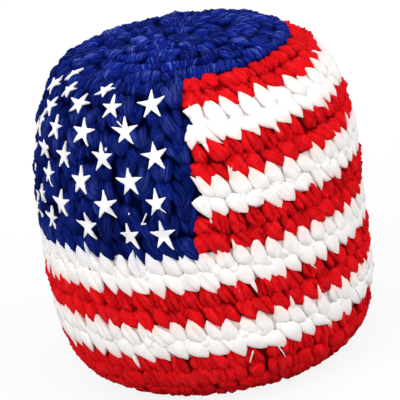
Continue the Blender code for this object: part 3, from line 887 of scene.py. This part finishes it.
def make_disc(place, colour, seed, rounds, kind, last_kind):
    """The crown or the base, worked round its pole."""
    lobes = Lobes(f"{place}_stitches", colour, LEGS[place], seed)
    for stitches in rounds:
        for number in range(stitches.stitches):
            lobes.stitch(stitches, number, last_kind if stitches is rounds[-1] else kind)
    lobes.bands.append(backing(None, rounds[0].top, rounds[-1].bottom))
    lobes.make(f"{place}_yarn", [f"{place}_disc"])


def make_canton(stripes):
    lobes = Lobes("canton_stitches", "blue", LEGS["canton"], 2)
    first, last = stripes[0][0], stripes[STRIPES_BESIDE_CANTON - 1][-1]
    for index, stripe in enumerate(stripes[:STRIPES_BESIDE_CANTON]):
        for stitches in stripe:
            kind = {first: "finger", last: "lower"}.get(stitches, "fleece")
            for number in range(stitches.beside_canton, stitches.stitches):
                lobes.stitch(stitches, number, kind)
            if 0 < index < STRIPES_BESIDE_CANTON - 1:
                lobes.stitch(stitches, EDGE_STITCH, kind)
    lobes.bands.append(backing((CANTON_BACK, CANTON_BACKING_FRONT), CROWN_ARC, last.bottom))
    return lobes.make("canton_yarn", ["canton_panel"])


def make_stripe(index, stripe):
    """One stripe of two rounds, which point away from each other. The first ones end at the canton."""
    white = index % 2 == 1
    colour, rank = "white" if white else "red", index // 2 + 1
    short = index < STRIPES_BESIDE_CANTON
    name = f"{colour}_stitches_{rank}"
    lobes = Lobes(name, colour, LEGS[colour], 10 + index)
    blue_from = CANTON_BACK + FULL_TURN if index == STRIPES_BESIDE_CANTON else math.inf
    lobes.borders = stripe[0].top, stripe[-1].bottom, blue_from
    insets, ends = ENDS.get(name, ENDS["red"]) if short else NO_ENDS
    for stitches, side, inset, end in zip(stripe, ("upper", "lower"), insets, ends):
        kind = {("upper", 0): "brim", ("lower", STRIPES - 1): "pressed"}.get((side, index), side)
        for number in range(stitches.beside_canton if short else stitches.stitches):
            lobes.stitch(stitches, number, kind, 0.0 if number else inset)
            if white and lobes.rng.random() < SPIKE_SHARE:
                lobes.extra(stitches, number, f"spike {side}")
            if white and side == "lower" and lobes.rng.random() < KNOT_SHARE:
                lobes.extra(stitches, number, "knot")
        for form in end:
            lobes.extra(stitches, 0, form)
    span = (CANTON_BACKING_FRONT + math.radians(BACKING_GAP_DEG), CANTON_BACK + FULL_TURN) if short else None
    lift = WHITE_BACKING_LIFT if white else BACKING_LIFT
    lobes.bands.append(backing(span, stripe[0].top, stripe[-1].bottom, lift))
    lobes.make(f"{colour}_yarn_{rank}", [f"{colour}_stripe_{rank}"])


def make_threads():
    lobes = Lobes("stray_threads", "white", LEGS["white"], 4)
    for thread in STRAY_THREADS:
        lobes.thread(*thread)
    lobes.make("thread_yarn", [])


def star_outline(rng, reaches, wide, tall, lean):
    """Corners and points between them on a star's edge, as (across, down) in metres."""
    corners = []
    for point, share in enumerate(reaches):
        for inward in (False, True):
            reach = STAR_WAIST_SHARE * STAR_WAIST_RADIUS
            if not inward:
                reach = STAR_RADIUS * share * (1 + rng.normal(0, STAR_REACH_SPREAD))
            tilt = math.radians(STAR_TILT_DEG + rng.normal(0, STAR_TURN_SPREAD_DEG))
            angle = math.pi * (2 * point + inward) / STAR_POINTS + tilt
            blunt = 0.0 if inward else STAR_TIP_WIDTH * rng.uniform(*STAR_TIP_RANGE) / reach / 2
            for turn in (0.0,) if inward else (-blunt, blunt):
                up = tall * reach * math.cos(angle + turn)
                corners.append((wide * reach * math.sin(angle + turn) + lean * up, -up))
    outline = []
    for index, (first, second) in enumerate(zip(corners, corners[1:] + corners[:1])):
        for share in np.linspace(0, 1, STAR_STEPS[index % 3], endpoint=False):
            outline.append([a + (b - a) * share for a, b in zip(first, second)])
    return np.array(outline)


def drape(tree, azimuth, arc):
    """How far the yarn under these places stands above the crests."""
    start, crest = on_cover(azimuth, arc, DRAPE_FROM), on_cover(azimuth, arc, 0.0)
    lifts = []
    for a, b in zip(start, crest):
        towards = Vector(b - a).normalized()
        hit = tree.ray_cast(Vector(a), towards)
        lifts.append(DRAPE_FROM - hit[3] if hit[0] is not None else DRAPE_NONE)
    return np.array(lifts)


def felt_lift(yarn_lift, flat):
    """Lift of felt over yarn: half of each bump and hollow comes through, and no yarn does."""
    yarn_lift = np.maximum(yarn_lift, FELT_DEEPEST)
    gap = np.linalg.norm(flat[:, None] - flat[None], axis=2)
    near = np.exp(-((gap / FELT_SMOOTH_WIDTH) ** 2))
    smooth = near @ yarn_lift / near.sum(axis=1)
    highest = np.where(gap < FELT_CLEAR_WIDTH, yarn_lift[None], -1.0).max(axis=1)
    lift = np.maximum(0.5 * smooth + 0.5 * smooth.mean() + FELT_LIFT, highest + FELT_CLEARANCE)
    return near @ lift / near.sum(axis=1)


def make_star(node, azimuth, arc, tree, seed):
    name, rng = f"felt_{node}", np.random.default_rng(seed)
    reaches = STAR_REACHES.get(node, (1.0,) * STAR_POINTS)
    outline = star_outline(rng, reaches, *STAR_STRETCHES.get(node, STAR_STRETCH))
    flat = np.concatenate([outline * scale for scale in FELT_RINGS] + [np.zeros((1, 2))])
    azimuth, arc = azimuth + flat[:, 0] / radius_at(arc), arc + flat[:, 1]
    wide = len(outline)
    lift = felt_lift(drape(tree, azimuth, arc), flat) + STAR_THICKNESS * FELT_TOP_SHARE
    lift[:wide] -= FELT_EDGE_DROP
    upper = on_cover(azimuth, arc, lift)
    side = on_cover(azimuth[:wide], arc[:wide], lift[:wide] - STAR_THICKNESS * FELT_SIDE_SHARE)
    below = on_cover(azimuth[-1:], arc[-1:], lift[-1:] - STAR_THICKNESS)
    vertices = np.concatenate([upper, side, below])

    faces = []
    centre, under, lowest = len(upper) - 1, len(upper), len(vertices) - 1
    inner = centre - wide
    for j in range(wide):
        k = (j + 1) % wide
        for ring in range(0, inner, wide):
            faces.append((ring + wide + k, ring + wide + j, ring + j, ring + k))
        faces.append((centre, inner + j, inner + k))
        faces.append((k, j, under + j, under + k))
        faces.append((under + k, under + j, lowest))
    mesh = bpy.data.meshes.new(name)
    mesh.from_pydata(vertices.tolist(), [], faces)
    mesh.shade_smooth()
    mesh.set_sharp_from_angle(angle=math.radians(FELT_SHARP_DEG))
    mesh.materials.append(felt_material(name + "_felt", seed))
    add_piece(name, mesh, [node])


def make_stars(canton):
    tree = BVHTree.FromObject(canton, bpy.context.evaluated_depsgraph_get())
    for row, places in enumerate(STAR_PLACE_SHARES, start=1):
        for number, (columns, rows) in enumerate(places, start=1):
            azimuth = math.radians(CANTON_FRONT_DEG - STAR_EDGE_DEG - columns * STAR_COLUMN_DEG)
            arc = CROWN_ARC + STAR_TOP_MARGIN + rows * STAR_ROW_PITCH
            make_star(f"star_{row}_{number}", azimuth, arc, tree, 100 * row + number)


def make_loop(name, node, colour):
    """A ring of twisted yarn at a pole."""
    low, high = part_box(node)
    yarn = (high.z - low.z) / 2
    ring = (high.x - low.x) / 2 - yarn
    level = (high.z + low.z) / 2
    turn = FULL_TURN * np.arange(LOOP_STEPS)[:, None] / LOOP_STEPS
    angle = FULL_TURN * np.arange(LOOP_SIDES)[None] / LOOP_SIDES
    strands = np.cos(LOOP_STRANDS * angle + LOOP_TURNS * turn)
    thick = yarn * (LOOP_FULLNESS + LOOP_RIDGE * strands)
    out = ring + thick * np.cos(angle)
    up = np.maximum(level + thick * np.sin(angle), 0)
    points = np.stack([out * np.sin(turn), -out * np.cos(turn), up], axis=-1)
    faces, places = grid_faces(LOOP_STEPS, LOOP_SIDES)
    maps = places[:, ::-1] * LOOP_RUNS, places[:, ::-1] * 0.98 + 0.01
    flat = np.ones(LOOP_STEPS * LOOP_SIDES)
    strand = strands.ravel() / 2 + 0.5
    # Marks: an even tone, a little painted shade of hollows all over, painted glints along the strands and,
    # for blue, the crown's painted paler colour
    marks = {"tint": flat * 0.5, "sunk": flat * 0.2, "strand": strand, "high": flat, "edge": flat * 0.0}
    yarn_piece(name, points.reshape(-1, 3), faces, maps, marks, colour, name + "_yarn", [node])


def make_inside():
    """Weave for the liner and moulded plastic for the pellets, on the solids themselves."""
    graph = Graph("liner_weave")
    inputs = {"Vector": graph.place(), "Scale": 900.0, "Distortion": 1.5, "Detail": 2.0}
    warp = graph.node("TexWave", inputs).outputs["Fac"]
    weft = graph.node("TexWave", inputs, bands_direction="Z").outputs["Fac"]
    weave = graph.math("MULTIPLY", warp, weft)
    shade = graph.blend(weave, (0.50, 0.44, 0.36, 1), (0.70, 0.64, 0.55, 1))
    dress("inner_liner", graph.finish(shade, weave, 0.4, 0.0001, 0.9))

    graph = Graph("pellet_plastic")
    cells = graph.node("TexVoronoi", {"Vector": graph.place(), "Scale": 330.0}).outputs["Distance"]
    # Pellets paler in their middles and painted darker towards their edges, as shade in the gaps between them
    shade = graph.blend(graph.ramp(cells, 0.1, 0.6), (0.78, 0.80, 0.82, 1), (0.30, 0.31, 0.33, 1))
    dress("pellet_fill", graph.finish(shade, cells, 0.8, -0.001, 0.4))


def dress(node, material):
    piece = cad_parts[node]
    if not piece.material_slots:
        piece.data.materials.append(material)
    for entry in piece.material_slots:
        entry.link = "OBJECT"
        entry.material = material


def make_camera():
    data = bpy.data.cameras.new("camera")
    data.sensor_width, data.lens = SENSOR_MM, LENS_MM
    data.clip_start, data.clip_end = CAMERA_NEAR, CAMERA_FAR
    back = Vector((0.0, -math.cos(CAMERA_ELEVATION), math.sin(CAMERA_ELEVATION)))
    place = Vector((0.0, 0.0, WIDEST_LEVEL)) + back * CAMERA_DISTANCE
    forward = (CAMERA_AIM - place).normalized()
    right = forward.cross(Vector((0, 0, 1))).normalized()
    up = right.cross(forward)
    tilted_right = right * math.cos(CAMERA_ROLL) + up * math.sin(CAMERA_ROLL)
    tilted_up = up * math.cos(CAMERA_ROLL) - right * math.sin(CAMERA_ROLL)
    turn = Matrix((tilted_right, tilted_up, -forward)).transposed()
    camera = link("camera", data)
    camera.matrix_world = Matrix.Translation(place) @ turn.to_4x4()
    bpy.context.scene.camera = camera


def make_sun(name, towards, strength, angle_deg):
    data = bpy.data.lights.new(name, "SUN")
    data.energy, data.angle = strength, math.radians(angle_deg)
    link(name, data).rotation_euler = Vector(towards).to_track_quat("-Z", "Y").to_euler()


def show(graph, lit, seen, output):
    """One surface for the rays that light the bag, another for camera, glossy and transmission rays."""
    path = graph.node("LightPath").outputs
    indirect = graph.math("MAXIMUM", path["Is Glossy Ray"], path["Is Transmission Ray"])
    share = graph.math("MAXIMUM", path["Is Camera Ray"], indirect)
    mix = graph.node("MixShader", {0: share, 1: lit.outputs[0], 2: seen.outputs[0]})
    graph.feed(graph.tree.nodes[output].inputs["Surface"], mix.outputs[0])


def make_world():
    graph = Graph("studio", bpy.data.worlds)
    light = graph.tree.nodes["Background"]
    light.inputs["Color"].default_value = (1, 1, 1, 1)
    light.inputs["Strength"].default_value = SKY_STRENGTH
    backdrop = graph.node("Background", {"Color": (1, 1, 1, 1)})
    show(graph, light, backdrop, "World Output")
    bpy.context.scene.world = graph.owner


def make_floor():
    """Pale paper that the camera sees nearly white, and that throws little light back at the bag."""
    mesh = bpy.data.meshes.new("floor")
    corners = [(x * FLOOR_HALF, y * FLOOR_HALF, FLOOR_LEVEL) for x, y in ((-1, -1), (1, -1), (1, 1), (-1, 1))]
    mesh.from_pydata(corners, [], [(0, 1, 2, 3)])
    graph = Graph("floor_paper")
    graph.shader.inputs["Base Color"].default_value = (0.08, 0.08, 0.08, 1)
    graph.shader.inputs["Roughness"].default_value = 1.0
    pale = graph.node("BsdfDiffuse", {"Color": (0.9, 0.9, 0.9, 1)})
    glow = graph.node("Emission", {"Color": (1, 1, 1, 1), "Strength": 1.0})
    bright = graph.node("MixShader", {0: FLOOR_GLOW, 1: pale.outputs[0], 2: glow.outputs[0]})
    show(graph, graph.shader, bright, "Material Output")
    mesh.materials.append(graph.owner)
    link("floor", mesh)


make_camera()
make_world()
make_floor()
for sun_name, sun in SUNS.items():
    make_sun(sun_name, *sun)
crown_rounds, stripe_rounds, base_rounds = cover_rounds()
make_disc("crown", "blue", 1, crown_rounds, "plump", "finger")
canton_piece = make_canton(stripe_rounds)
for stripe_index, stripe_pair in enumerate(stripe_rounds):
    make_stripe(stripe_index, stripe_pair)
make_disc("base", "red", 3, base_rounds, "pressed", "pressed")
make_threads()
make_stars(canton_piece)
make_loop("drawn_loop", "start_loop", "blue")
make_loop("gathered_loop", "closing_loop", "red")
make_inside()

bpy.context.scene.view_settings.view_transform = "Standard"
bpy.context.view_layer.update()
